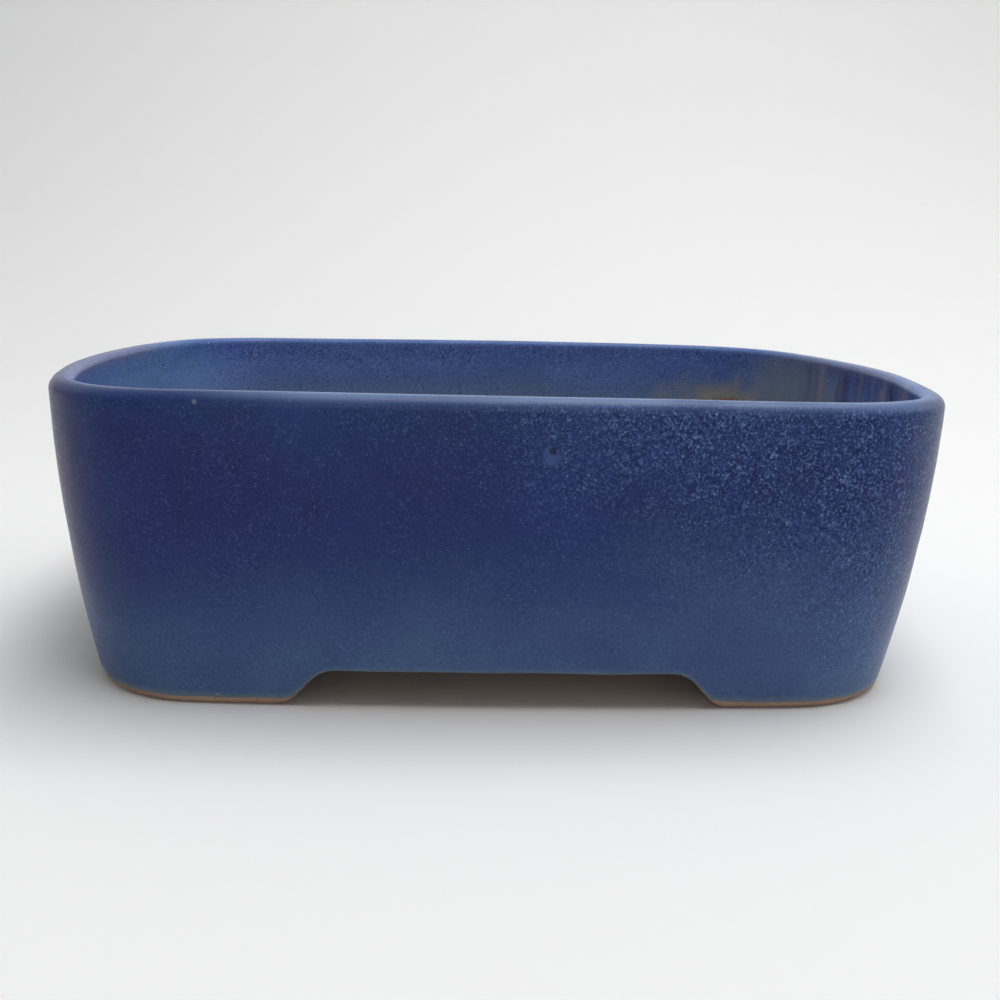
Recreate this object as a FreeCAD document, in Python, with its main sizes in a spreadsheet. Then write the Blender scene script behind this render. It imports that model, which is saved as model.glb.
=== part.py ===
"""Low rectangular bonsai pot with bowed walls, large rounded corners and four corner feet.

The pot is slab built. The walls stand on the edge of a floor slab, a coil of clay seals the joint
inside, four feet are luted under the corners, and the glaze is poured on afterwards as two coats.
The outline is eight tangent arcs. Every ring-shaped piece is one section turned about the centres
of those arcs, so neighbouring pieces meet face to face. Millimetres, +Z up, origin under the middle
of the pot on the surface it stands on, length along X.
"""
import FreeCAD, Part
import Sketcher
import math
import os

DRIVING = {
    # plan outline at the rim
    "length": 160.0,
    "width": 120.0,
    "height": 51.5,
    "corner_radius": 26.0,
    "side_bow": 2.5,            # degrees each side of the middle of a long wall
    "end_bow": 17.0,            # degrees each side of the middle of an end wall
    # wall section: both faces are arcs centred above the rim, so the walls lean in towards the feet
    "outer_curve": 245.0,
    "inner_curve": 180.0,
    "curve_height": 55.0,
    "rim_thickness": 4.0,
    "lip_outer": 1.3,
    "lip_inner": 0.8,
    # floor slab, feet and arches
    "foot_height": 6.5,
    "foot_width": 9.0,
    "foot_taper": 1.2,
    "floor_thickness": 5.5,
    "coil_radius": 4.0,
    "side_arch": 35.3,          # half of the arch's width on the ground, along X
    "end_arch": 20.0,           # the same along Y
    "arch_slope": 50.0,
    "arch_fillet": 4.0,
    # holes in the floor
    "drain_radius": 6.5,
    "drain_spacing": 64.0,
    "tie_radius": 2.0,
    "tie_spacing_x": 84.0,
    "tie_spacing_y": 50.0,
    # glaze coats
    "glaze": 0.35,
    "bare_foot": 1.2,
    "inner_glaze_depth": 24.0,
}

# heights and plan places worked out from the driving dimensions, as sheet expressions
FLOOR_BOTTOM = "sizes.foot_height"
FLOOR_TOP = "(sizes.foot_height + sizes.floor_thickness)"
COIL_TOP = f"({FLOOR_TOP} + sizes.coil_radius)"
CLAY_TOP = "(sizes.height - sizes.glaze)"
OUTER_SHOULDER = "(sizes.height - sizes.lip_outer)"
INNER_SHOULDER = "(sizes.height - sizes.lip_inner)"
GLAZE_END = "(sizes.height - sizes.inner_glaze_depth)"

SIDE_TAN = "tan(sizes.side_bow / 2)"
END_TAN = "tan(sizes.end_bow / 2)"
SPAN_X = "(sizes.length / 2 - sizes.corner_radius)"
SPAN_Y = "(sizes.width / 2 - sizes.corner_radius)"
CORNER_X = f"(({SPAN_X} - {SPAN_Y} * {END_TAN}) / (1 - {SIDE_TAN} * {END_TAN}))"
CORNER_Y = f"(({SPAN_Y} - {SPAN_X} * {SIDE_TAN}) / (1 - {SIDE_TAN} * {END_TAN}))"
SIDE_REACH = f"({CORNER_X} / sin(sizes.side_bow))"
END_REACH = f"({CORNER_Y} / sin(sizes.end_bow))"
SIDE_RADIUS = f"(sizes.corner_radius + {SIDE_REACH})"
END_RADIUS = f"(sizes.corner_radius + {END_REACH})"
SIDE_CENTRE = f"({SIDE_REACH} * cos(sizes.side_bow) - {CORNER_Y})"
END_CENTRE = f"({END_REACH} * cos(sizes.end_bow) - {CORNER_X})"
CORNER_ANGLE = "(90 - sizes.side_bow - sizes.end_bow)"
CORNER_MIDDLE = "((90 - sizes.side_bow + sizes.end_bow) / 2)"

doc = FreeCAD.newDocument("bonsai_pot")
sizes = doc.addObject("Spreadsheet::Sheet", "sizes")


def fill_sheet():
    for row, (alias, number) in enumerate(DRIVING.items(), start=1):
        sizes.set(f"A{row}", alias)
        sizes.set(f"B{row}", str(number))
        sizes.setAlias(f"B{row}", alias)
    doc.recompute()


def value(expression):
    """The number that an expression gives with the sheet as it stands."""
    result = sizes.evalExpression(expression)
    return float(getattr(result, "Value", result))


def origin_plane(body, role):
    return next(plane for plane in body.Origin.OriginFeatures if plane.Role == role)


def new_sketch(body, name, role):
    sketch = body.newObject("Sketcher::SketchObject", name)
    sketch.AttachmentSupport = (origin_plane(body, role), [""])
    sketch.MapMode = "FlatFace"
    return sketch


def arc_through(start, end, radius, bulge):
    """The short arc between two points; bulge +1 puts it left of the line from start to end."""
    half = (end - start) / 2
    side = FreeCAD.Vector(-half.y, half.x, 0).normalize() * bulge
    rise = radius - math.sqrt(radius ** 2 - half.Length ** 2)
    return Part.Arc(start, start + half + side * rise, end)


def draw_outline(sketch, corners, arcs):
    """A closed outline. Edge n runs from corner n to the next one, and arcs[n] makes it an arc."""
    points = [FreeCAD.Vector(value(x), value(y), 0) for x, y in corners]
    edges = []
    for number, start in enumerate(points):
        end = points[(number + 1) % len(points)]
        if number in arcs:
            radius, bulge = arcs[number]
            curve = arc_through(start, end, value(radius), bulge)
        else:
            curve = Part.LineSegment(start, end)
        edge = sketch.addGeometry(curve, False)
        forward = (sketch.getPoint(edge, 1) - start).Length < (sketch.getPoint(edge, 2) - start).Length
        edges.append((edge, 1 if forward else 2, 2 if forward else 1))
        if number in arcs:
            tag = sketch.addConstraint(Sketcher.Constraint("Radius", edge, value(radius)))
            sketch.setExpression(f"Constraints[{tag}]", radius)
    for number, (x, y) in enumerate(corners):
        edge, first, _ = edges[number]
        previous, _, last = edges[number - 1]
        sketch.addConstraint(Sketcher.Constraint("Coincident", previous, last, edge, first))
        for kind, expression in (("DistanceX", x), ("DistanceY", y)):
            constraint = Sketcher.Constraint(kind, -1, 1, edge, first, value(expression))
            tag = sketch.addConstraint(constraint)
            sketch.setExpression(f"Constraints[{tag}]", expression)


# ---- the wall section: distances outward from the outer edge of the rim, at a height ----------

def outer_face(height, skin="0"):
    """Outer surface of the pot at a height, or the surface that lies a skin's thickness inside it."""
    rim = "sqrt(sizes.outer_curve ^ 2 - (sizes.curve_height - sizes.height) ^ 2)"
    return f"(sqrt((sizes.outer_curve - {skin}) ^ 2 - (sizes.curve_height - {height}) ^ 2) - {rim})"


def inner_face(height, skin="0"):
    """Inner surface of the pot at a height, or the surface that lies a skin's thickness behind it."""
    rim = "sqrt(sizes.inner_curve ^ 2 - (sizes.curve_height - sizes.height) ^ 2)"
    face = f"sqrt((sizes.inner_curve + {skin}) ^ 2 - (sizes.curve_height - {height}) ^ 2)"
    return f"({face} - {rim} - sizes.rim_thickness)"


CLAY = "sizes.glaze"
LIP_OUT = f"({outer_face(OUTER_SHOULDER)} - sizes.lip_outer)"
LIP_IN = f"({inner_face(INNER_SHOULDER)} + sizes.lip_inner)"
CREST = f"(({LIP_OUT} + {LIP_IN}) / 2)"


def wall_section():
    corners = [
        (outer_face(FLOOR_TOP, CLAY), FLOOR_TOP),
        (outer_face(OUTER_SHOULDER, CLAY), OUTER_SHOULDER),
        (LIP_OUT, CLAY_TOP),
        (LIP_IN, CLAY_TOP),
        (inner_face(INNER_SHOULDER, CLAY), INNER_SHOULDER),
        (inner_face(FLOOR_TOP, CLAY), FLOOR_TOP),
    ]
    arcs = {
        0: ("sizes.outer_curve - sizes.glaze", -1),
        1: ("sizes.lip_outer - sizes.glaze", -1),
        3: ("sizes.lip_inner - sizes.glaze", -1),
        4: ("sizes.inner_curve + sizes.glaze", 1),
    }
    return corners, arcs


def outer_glaze_section():
    corners = [
        (outer_face("sizes.bare_foot"), "sizes.bare_foot"),
        (outer_face(OUTER_SHOULDER), OUTER_SHOULDER),
        (LIP_OUT, "sizes.height"),
        (CREST, "sizes.height"),
        (CREST, CLAY_TOP),
        (LIP_OUT, CLAY_TOP),
        (outer_face(OUTER_SHOULDER, CLAY), OUTER_SHOULDER),
        (outer_face("sizes.bare_foot", CLAY), "sizes.bare_foot"),
    ]
    arcs = {
        0: ("sizes.outer_curve", -1),
        1: ("sizes.lip_outer", -1),
        5: ("sizes.lip_outer - sizes.glaze", 1),
        6: ("sizes.outer_curve - sizes.glaze", 1),
    }
    return corners, arcs


def inner_glaze_section():
    corners = [
        (inner_face(GLAZE_END, CLAY), GLAZE_END),
        (inner_face(INNER_SHOULDER, CLAY), INNER_SHOULDER),
        (LIP_IN, CLAY_TOP),
        (CREST, CLAY_TOP),
        (CREST, "sizes.height"),
        (LIP_IN, "sizes.height"),
        (inner_face(INNER_SHOULDER), INNER_SHOULDER),
        (inner_face(GLAZE_END), GLAZE_END),
    ]
    arcs = {
        0: ("sizes.inner_curve + sizes.glaze", -1),
        1: ("sizes.lip_inner - sizes.glaze", 1),
        5: ("sizes.lip_inner", -1),
        6: ("sizes.inner_curve", 1),
    }
    return corners, arcs


def floor_edge_section():
    inside = f"({outer_face(FLOOR_BOTTOM, CLAY)} - sizes.foot_width)"
    corners = [
        (outer_face(FLOOR_BOTTOM, CLAY), FLOOR_BOTTOM),
        (outer_face(FLOOR_TOP, CLAY), FLOOR_TOP),
        (inside, FLOOR_TOP),
        (inside, FLOOR_BOTTOM),
    ]
    return corners, {0: ("sizes.outer_curve - sizes.glaze", -1)}


def coil_section():
    corners = [
        (inner_face(FLOOR_TOP, CLAY), FLOOR_TOP),
        (inner_face(COIL_TOP, CLAY), COIL_TOP),
        (f"({inner_face(FLOOR_TOP, CLAY)} - sizes.coil_radius)", FLOOR_TOP),
    ]
    arcs = {
        0: ("sizes.inner_curve + sizes.glaze", -1),
        1: ("sizes.coil_radius * 1.2", 1),
    }
    return corners, arcs


def foot_section():
    inside = f"({outer_face(FLOOR_BOTTOM, CLAY)} - sizes.foot_width)"
    corners = [
        (f"({outer_face('sizes.bare_foot', CLAY)} - sizes.bare_foot)", "0"),
        (outer_face("sizes.bare_foot", CLAY), "sizes.bare_foot"),
        (outer_face(FLOOR_BOTTOM, CLAY), FLOOR_BOTTOM),
        (inside, FLOOR_BOTTOM),
        (f"({inside} + sizes.foot_taper)", "0"),
    ]
    return corners, {1: ("sizes.outer_curve - sizes.glaze", -1)}


# ---- turning a section about the centre of one arc of the outline -----------------------------

def turn_section(body, name, section, centre, radius, azimuth, angle):
    """Turn a section about a vertical axis over an angle, half of it each side of the azimuth."""
    sketch = new_sketch(body, f"{name}_section", "XZ_Plane")
    turned = FreeCAD.Rotation(FreeCAD.Vector(0, 1, 0), value(azimuth))
    sketch.AttachmentOffset = FreeCAD.Placement(FreeCAD.Vector(), turned)
    sketch.setExpression("AttachmentOffset.Base.x", centre[0])
    sketch.setExpression("AttachmentOffset.Base.z", f"-({centre[1]})")
    corners, arcs = section
    draw_outline(sketch, [(f"{radius} + {x}", y) for x, y in corners], arcs)
    doc.recompute()
    revolution = body.newObject("PartDesign::Revolution", name)
    revolution.Profile = sketch
    revolution.ReferenceAxis = (sketch, ["V_Axis"])
    revolution.Midplane = True
    revolution.setExpression("Angle", angle)
    doc.recompute()


def turn_side(body, name, section, facing, half=0):
    """Along a long wall: facing +1 is the back, -1 the front; half +1 or -1 is its +X or -X half."""
    centre = ("0", f"{-facing} * {SIDE_CENTRE}")
    angle = "sizes.side_bow" if half else "2 * sizes.side_bow"
    azimuth = f"{facing} * (90 - {half} * sizes.side_bow / 2)"
    turn_section(body, name, section, centre, SIDE_RADIUS, azimuth, angle)


def turn_end(body, name, section, facing, half=0):
    """Along an end wall: facing +1 is the +X end; half +1 or -1 is its +Y or -Y half."""
    centre = (f"{-facing} * {END_CENTRE}", "0")
    angle = "sizes.end_bow" if half else "2 * sizes.end_bow"
    azimuth = f"{90 - facing * 90} + {facing * half} * sizes.end_bow / 2"
    turn_section(body, name, section, centre, END_RADIUS, azimuth, angle)


def turn_corner(body, name, section, east, north):
    """Round one corner, east and north being the signs of its X and Y."""
    centre = (f"{east} * {CORNER_X}", f"{north} * {CORNER_Y}")
    azimuth = f"{90 * north} - {east * north} * (90 - {CORNER_MIDDLE})"
    turn_section(body, name, section, centre, "sizes.corner_radius", azimuth, CORNER_ANGLE)


CORNERS = [(-1, -1), (1, -1), (1, 1), (-1, 1)]


def turn_all_round(body, section):
    for facing, name in ((-1, "front"), (1, "back")):
        turn_side(body, f"{body.Name}_{name}", section, facing)
    for facing, name in ((-1, "left"), (1, "right")):
        turn_end(body, f"{body.Name}_{name}", section, facing)
    for number, (east, north) in enumerate(CORNERS):
        turn_corner(body, f"{body.Name}_corner_{number}", section, east, north)


# ---- cuts -------------------------------------------------------------------------------------

def cut_through(body, sketch, name):
    before = body.Shape.Volume
    pocket = body.newObject("PartDesign::Pocket", name)
    pocket.Profile = sketch
    pocket.Type = "ThroughAll"
    pocket.Midplane = True
    doc.recompute()
    if not body.Shape.Volume < before:
        raise RuntimeError(f"{name} cuts nothing")


def cut_arch(body, name, role, half_width):
    """Cut the opening between two feet, right through the pot: sloping sides that curve into the top."""
    bend_height = "(sizes.foot_height - sizes.arch_fillet * (1 - cos(sizes.arch_slope)))"
    bend = f"({half_width} - {bend_height} / tan(sizes.arch_slope))"
    flat = f"({bend} - sizes.arch_fillet * sin(sizes.arch_slope))"
    half = [(half_width, "-1"), (half_width, "0"), (bend, bend_height), (flat, FLOOR_BOTTOM)]
    mirrored = [(f"-1 * {x}", y) for x, y in reversed(half)]
    sketch = new_sketch(body, f"{name}_outline", role)
    draw_outline(sketch, half + mirrored, {2: ("sizes.arch_fillet", -1), 4: ("sizes.arch_fillet", -1)})
    doc.recompute()
    cut_through(body, sketch, name)


def cut_holes(body, name, radius, places):
    sketch = new_sketch(body, f"{name}_outline", "XY_Plane")
    for x, y in places:
        centre = FreeCAD.Vector(value(x), value(y), 0)
        circle = sketch.addGeometry(Part.Circle(centre, FreeCAD.Vector(0, 0, 1), value(radius)), False)
        limits = (
            (Sketcher.Constraint("Radius", circle, value(radius)), radius),
            (Sketcher.Constraint("DistanceX", -1, 1, circle, 3, value(x)), x),
            (Sketcher.Constraint("DistanceY", -1, 1, circle, 3, value(y)), y),
        )
        for constraint, expression in limits:
            tag = sketch.addConstraint(constraint)
            sketch.setExpression(f"Constraints[{tag}]", expression)
    doc.recompute()
    cut_through(body, sketch, name)


# ---- sub-parts --------------------------------------------------------------------------------

def new_body(name):
    body = doc.addObject("PartDesign::Body", name)
    body.Label = name
    doc.recompute()
    return body


def make_long_wall(name, facing):
    body = new_body(name)
    turn_side(body, f"{name}_slab", wall_section(), facing)
    return body


def make_end_wall(name, facing):
    """An end slab bent round both corners, up to the flatter long walls."""
    body = new_body(name)
    turn_end(body, f"{name}_slab", wall_section(), facing)
    for north in (-1, 1):
        turn_corner(body, f"{name}_bend_{north + 1}", wall_section(), facing, north)
    return body


def make_floor_slab():
    body = new_body("floor_slab")
    turn_all_round(body, floor_edge_section())
    inset = f"(sizes.foot_width - {outer_face(FLOOR_BOTTOM, CLAY)})"
    radius = f"(sizes.corner_radius - {inset})"
    near_end = (
        f"({CORNER_X} + {radius} * cos(sizes.end_bow))",
        f"({CORNER_Y} + {radius} * sin(sizes.end_bow))",
    )
    near_side = (
        f"({CORNER_X} + {radius} * sin(sizes.side_bow))",
        f"({CORNER_Y} + {radius} * cos(sizes.side_bow))",
    )
    outline = []
    arcs = {}
    for number, (east, north) in enumerate(CORNERS):
        pair = (near_end, near_side) if east == north else (near_side, near_end)
        outline += [(f"{east} * {x}", f"{north} * {y}") for x, y in pair]
        side_radius = SIDE_RADIUS if number % 2 == 0 else END_RADIUS
        arcs[2 * number] = (radius, -1)
        arcs[2 * number + 1] = (f"({side_radius} - {inset})", -1)
    sketch = new_sketch(body, "floor_middle_outline", "XY_Plane")
    sketch.setExpression("AttachmentOffset.Base.z", FLOOR_BOTTOM)
    draw_outline(sketch, outline, arcs)
    doc.recompute()
    pad = body.newObject("PartDesign::Pad", "floor_middle")
    pad.Profile = sketch
    pad.setExpression("Length", "sizes.floor_thickness")
    doc.recompute()
    signs = ("-1", "1")
    drains = [(f"{sign} * sizes.drain_spacing / 2", "0") for sign in signs]
    cut_holes(body, "drain_holes", "sizes.drain_radius", drains)
    ties = [
        (f"{east} * sizes.tie_spacing_x / 2", f"{north} * sizes.tie_spacing_y / 2")
        for east in signs
        for north in signs
    ]
    cut_holes(body, "tie_wire_holes", "sizes.tie_radius", ties)
    return body


def make_floor_joint_coil():
    body = new_body("floor_joint_coil")
    turn_all_round(body, coil_section())
    return body


def make_foot(name, east, north):
    """An L-shaped foot that follows the corner and ends in the slopes of the two arches beside it."""
    body = new_body(name)
    turn_corner(body, f"{name}_corner", foot_section(), east, north)
    turn_side(body, f"{name}_side", foot_section(), north, half=east)
    turn_end(body, f"{name}_end", foot_section(), east, half=north)
    cut_arch(body, f"{name}_side_arch", "XZ_Plane", "sizes.side_arch")
    cut_arch(body, f"{name}_end_arch", "YZ_Plane", "sizes.end_arch")
    return body


def make_outer_glaze():
    body = new_body("outer_glaze")
    turn_all_round(body, outer_glaze_section())
    cut_arch(body, "outer_glaze_side_arch", "XZ_Plane", "sizes.side_arch")
    cut_arch(body, "outer_glaze_end_arch", "YZ_Plane", "sizes.end_arch")
    return body


def make_inner_glaze():
    body = new_body("inner_glaze")
    turn_all_round(body, inner_glaze_section())
    return body


def check_document(parts):
    doc.recompute()
    for item in doc.Objects:
        if "Invalid" in item.State or "Error" in item.State:
            raise RuntimeError(f"{item.Name} failed: {item.State}")
    for part in parts:
        if part.Shape.isNull() or not part.Shape.isValid():
            raise RuntimeError(f"{part.Label} has no valid shape")
        print(part.Label, "solids", len(part.Shape.Solids), "volume", round(part.Shape.Volume, 1))


def main():
    fill_sheet()
    parts = [
        make_long_wall("front_wall", -1),
        make_long_wall("back_wall", 1),
        make_end_wall("left_end_wall", -1),
        make_end_wall("right_end_wall", 1),
        make_floor_slab(),
        make_floor_joint_coil(),
        make_foot("foot_front_left", -1, -1),
        make_foot("foot_front_right", 1, -1),
        make_foot("foot_back_left", -1, 1),
        make_foot("foot_back_right", 1, 1),
        make_outer_glaze(),
        make_inner_glaze(),
    ]
    check_document(parts)
    os.makedirs("parts", exist_ok=True)
    for part in parts:
        part.Shape.exportStep(f"parts/{part.Label}.step")


main()
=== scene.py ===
"""Looks of the bonsai pot: glaze coats and bare clay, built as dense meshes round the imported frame.

Lengths are millimetres until a mesh is made, and the frame is the CAD model's. Every piece is swept
along the same outline, and the same gentle warp is then applied to all of them, so they stay in touch.
"""

import math

import bpy
import numpy as np
from mathutils import Matrix, Vector
from mathutils.geometry import delaunay_2d_cdt


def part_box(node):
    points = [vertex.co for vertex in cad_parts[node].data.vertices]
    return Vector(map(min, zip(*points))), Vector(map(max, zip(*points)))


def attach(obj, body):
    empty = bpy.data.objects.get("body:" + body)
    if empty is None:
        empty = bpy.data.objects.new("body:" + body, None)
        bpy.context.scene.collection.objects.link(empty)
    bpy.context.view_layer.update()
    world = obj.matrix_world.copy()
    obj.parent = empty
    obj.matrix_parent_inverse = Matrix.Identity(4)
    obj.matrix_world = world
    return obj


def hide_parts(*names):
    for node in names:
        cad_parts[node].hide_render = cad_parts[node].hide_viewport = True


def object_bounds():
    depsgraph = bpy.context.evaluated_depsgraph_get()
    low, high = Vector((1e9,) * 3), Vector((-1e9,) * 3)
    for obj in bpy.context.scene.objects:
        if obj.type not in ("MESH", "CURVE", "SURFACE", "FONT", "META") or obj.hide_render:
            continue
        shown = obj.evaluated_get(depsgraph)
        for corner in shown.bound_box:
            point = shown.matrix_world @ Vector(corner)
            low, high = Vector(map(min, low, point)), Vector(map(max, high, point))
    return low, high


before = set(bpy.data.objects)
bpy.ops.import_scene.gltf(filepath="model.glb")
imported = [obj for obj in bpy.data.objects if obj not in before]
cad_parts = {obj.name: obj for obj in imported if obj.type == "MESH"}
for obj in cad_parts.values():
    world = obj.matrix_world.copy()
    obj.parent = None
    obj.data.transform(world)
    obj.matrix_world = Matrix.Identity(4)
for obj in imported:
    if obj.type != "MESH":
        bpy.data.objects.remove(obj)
CAD_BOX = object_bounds()

MM = 0.001


def frame_mm(node):
    low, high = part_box(node)
    return low / MM, high / MM


# ---- sizes taken from the frame ---------------------------------------------------------------

HALF_LENGTH = round((CAD_BOX[1].x - CAD_BOX[0].x) / MM / 2, 1)
HALF_WIDTH = round((CAD_BOX[1].y - CAD_BOX[0].y) / MM / 2, 1)
HEIGHT = CAD_BOX[1].z / MM
FLOOR_BOTTOM = frame_mm("floor_slab")[0].z
FLOOR_TOP = frame_mm("floor_slab")[1].z
COIL_TOP = frame_mm("floor_joint_coil")[1].z
BARE_FOOT = frame_mm("outer_glaze")[0].z
GLAZE_END = frame_mm("inner_glaze")[0].z

# ---- the shape that the frame's pieces share --------------------------------------------------

CORNER_RADIUS = 26.0
SIDE_BOW = math.radians(2.5)
END_BOW = math.radians(17.0)
OUTER_CURVE = 245.0
INNER_CURVE = 180.0
CURVE_HEIGHT = 55.0
RIM_THICKNESS = 4.0
LIP_OUTER = 1.9
LIP_INNER = 1.2
GLAZE = 0.35
FOOT_WIDTH = 9.0
SIDE_ARCH = 35.3
END_ARCH = 20.0
ARCH_SHIFT = 1.0            # the front and back arches were cut a little off centre
ARCH_SLOPE = math.radians(49)
ARCH_FILLET = 5.5
ARCH_TOE = 1.6              # how far from its foot an arch starts to rise, softly
FOOT_ROUND = 1.2            # rounding of the clay's lower edge at a foot
ARCH_ROUND = 0.7            # and under an arch
FLOOR_EDGE_ROUND = 0.7      # rounding of the floor slab's rim and holes
BEND_SOFTNESS = 3.0         # how gradually the outline's bends start and end
COIL = COIL_TOP - FLOOR_TOP
DRAINS = [(-32.0, 0.0, 6.5), (32.0, 0.0, 6.5)]
TIES = [(x, y, 2.0) for x in (-42.0, 42.0) for y in (-25.0, 25.0)]

# ---- marks that the maker, the glaze and the kiln left ----------------------------------------

CRATER = (7.2, 43.7)        # x and z of a burst bubble in the front glaze
CHIP = (-75.5, -35.5)       # x and y of a chip on the outer edge of the lip
FLECKS = [                  # x, z, half width and strength of pale flecks in the front glaze
    (-66.3, 2.6, 0.35, 0.8),
    (-46.1, 50.0, 0.35, 0.2),
    (-45.2, 1.9, 0.2, 0.5),
    (65.5, 5.0, 0.2, 0.4),
]
END_RUNS = [                # y, half width and strength of the pale runs inside the right end
    (23.0, 1.3, 0.6),
    (14.0, 0.9, 0.2),
    (4.0, 1.1, 0.35),
    (-3.0, 0.7, 0.3),
    (-10.0, 1.8, 0.6),
    (-25.0, 3.5, 0.7),
]

# ---- how finely the meshes follow the shape ---------------------------------------------------

OUTLINE_STEPS = 8192        # even steps round the outline before columns are chosen from it
COLUMNS = 1000              # columns of faces round the pot
FLOOR_COLUMNS_STEP = 4      # the floor slab's edge uses every fourth of them
FLOOR_GRID = 2.0
SEED = 7


# ---- smooth noise -----------------------------------------------------------------------------

def smooth_noise(points, wavelength, seed, waves=28):
    """A smooth random field of about -1 to 1, the same for the same seed."""
    random = np.random.default_rng(SEED * 1000 + seed)
    directions = random.normal(size=(waves, points.shape[-1]))
    directions /= np.linalg.norm(directions, axis=1)[:, None]
    numbers = 2 * math.pi / wavelength * random.uniform(0.6, 1.4, waves)
    phases = random.uniform(0, 2 * math.pi, waves)
    total = np.zeros(points.shape[:-1])
    for direction, number, phase in zip(directions, numbers, phases):
        total += np.sin(points @ direction * number + phase)
    return total * math.sqrt(2 / waves) * 0.6


def smoothstep(low, high, x):
    t = np.clip((x - low) / (high - low), 0, 1)
    return t * t * (3 - 2 * t)


# ---- outline ----------------------------------------------------------------------------------

def arc_points(centre, radius, first, last, count):
    angles = np.linspace(first, last, count, endpoint=False)
    return centre + radius * np.stack([np.cos(angles), np.sin(angles)], axis=1)


def rim_outline(count=6000):
    """Points round the outer edge of the rim, anticlockwise from the middle of the +X end."""
    span_x = HALF_LENGTH - CORNER_RADIUS
    span_y = HALF_WIDTH - CORNER_RADIUS
    side_tan = math.tan(SIDE_BOW / 2)
    end_tan = math.tan(END_BOW / 2)
    corner_x = (span_x - span_y * end_tan) / (1 - side_tan * end_tan)
    corner_y = (span_y - span_x * side_tan) / (1 - side_tan * end_tan)
    side_reach = corner_x / math.sin(SIDE_BOW)
    end_reach = corner_y / math.sin(END_BOW)
    end_centre = np.array([corner_x - end_reach * math.cos(END_BOW), 0.0])
    side_centre = np.array([0.0, corner_y - side_reach * math.cos(SIDE_BOW)])
    corner = np.array([corner_x, corner_y])
    top = math.pi / 2
    quarter = np.vstack([
        arc_points(end_centre, CORNER_RADIUS + end_reach, 0.0, END_BOW, count // 6),
        arc_points(corner, CORNER_RADIUS, END_BOW, top - SIDE_BOW, count // 4),
        arc_points(side_centre, CORNER_RADIUS + side_reach, top - SIDE_BOW, top, count // 6),
        [[0.0, HALF_WIDTH]],
    ])
    half = np.vstack([quarter, quarter[-2::-1] * [-1, 1]])
    return np.vstack([half[:-1], half[:0:-1] * [1, -1]]), corner


def even_closed(points, count):
    """The closed line through the points again, as evenly spaced points, and its length."""
    closed = np.vstack([points, points[:1]])
    steps = np.linalg.norm(np.diff(closed, axis=0), axis=1)
    along = np.concatenate([[0.0], np.cumsum(steps)])
    places = np.linspace(0, along[-1], count, endpoint=False)
    even = np.stack([np.interp(places, along, closed[:, axis]) for axis in (0, 1)], axis=1)
    return even, along[-1]


def blur_closed(points, length, width):
    """Soften a closed line, so that its bends start and end gradually."""
    frequencies = np.fft.fftfreq(len(points), d=length / len(points))
    damping = np.exp(-0.5 * (2 * math.pi * frequencies * width) ** 2)
    return np.stack([np.fft.ifft(np.fft.fft(points[:, axis]) * damping).real for axis in (0, 1)], axis=1)


def make_columns():
    """Places and outward normals round the rim: about half a millimetre apart, closer at the crater."""
    raw, corner = rim_outline()
    even, length = even_closed(raw, OUTLINE_STEPS)
    soft = blur_closed(even, length, BEND_SOFTNESS)
    tangents = np.roll(soft, -1, axis=0) - np.roll(soft, 1, axis=0)
    normals = np.stack([tangents[:, 1], -tangents[:, 0]], axis=1)
    normals /= np.linalg.norm(normals, axis=1)[:, None]
    crater_reach = 3.0
    extra = 2.5
    near_crater = np.exp(-((soft[:, 0] - CRATER[0]) / crater_reach) ** 2) * (soft[:, 1] < 0)
    weight = np.cumsum(1.0 + extra * near_crater)
    wanted = np.linspace(0, weight[-1], COLUMNS, endpoint=False)
    chosen = np.searchsorted(weight, wanted)
    return soft[chosen], normals[chosen], corner


PLACES, NORMALS, CORNER = make_columns()
ALL_COLUMNS = np.arange(COLUMNS)
ON_SIDE = np.abs(NORMALS[:, 1]) > np.abs(NORMALS[:, 0])


def in_space(columns, rho, z):
    """Points from distances outward of the rim's edge and heights, one row per step of a section."""
    flat = PLACES[columns][None] + NORMALS[columns][None] * rho[..., None]
    return np.concatenate([flat, np.broadcast_to(z, rho.shape)[..., None]], axis=-1)


# ---- sections: distance outward from the rim's edge at a height -------------------------------

OUTER_RIM = math.sqrt(OUTER_CURVE ** 2 - (CURVE_HEIGHT - HEIGHT) ** 2)
INNER_RIM = math.sqrt(INNER_CURVE ** 2 - (CURVE_HEIGHT - HEIGHT) ** 2)


def outer_face(z, skin=0.0):
    return np.sqrt((OUTER_CURVE - skin) ** 2 - (CURVE_HEIGHT - z) ** 2) - OUTER_RIM


def inner_face(z, skin=0.0):
    return np.sqrt((INNER_CURVE + skin) ** 2 - (CURVE_HEIGHT - z) ** 2) - INNER_RIM - RIM_THICKNESS


LIP_OUT = float(outer_face(HEIGHT - LIP_OUTER)) - LIP_OUTER
LIP_IN = float(inner_face(HEIGHT - LIP_INNER)) + LIP_INNER
CREST = (LIP_OUT + LIP_IN) / 2


def arch_height(across, half_width):
    """Height of the pot's lower edge: 0 at a foot, rising in a soft S to the top of the arch."""
    top = FLOOR_BOTTOM
    slope = math.tan(ARCH_SLOPE)
    bend = top - ARCH_FILLET * (1 - math.cos(ARCH_SLOPE))
    flat = bend / slope + ARCH_FILLET * math.sin(ARCH_SLOPE)
    inside = half_width - np.abs(across)
    soft_start = slope * (inside + ARCH_TOE) ** 2 / (4 * ARCH_TOE)
    rise = np.where(inside < ARCH_TOE, soft_start, slope * inside)
    rise = np.where(inside < -ARCH_TOE, 0.0, rise)
    curve = top - ARCH_FILLET + np.sqrt(np.maximum(ARCH_FILLET ** 2 - (flat - inside) ** 2, 0))
    rise = np.where(rise > bend, curve, rise)
    return np.where(inside > flat, top, rise)


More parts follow.
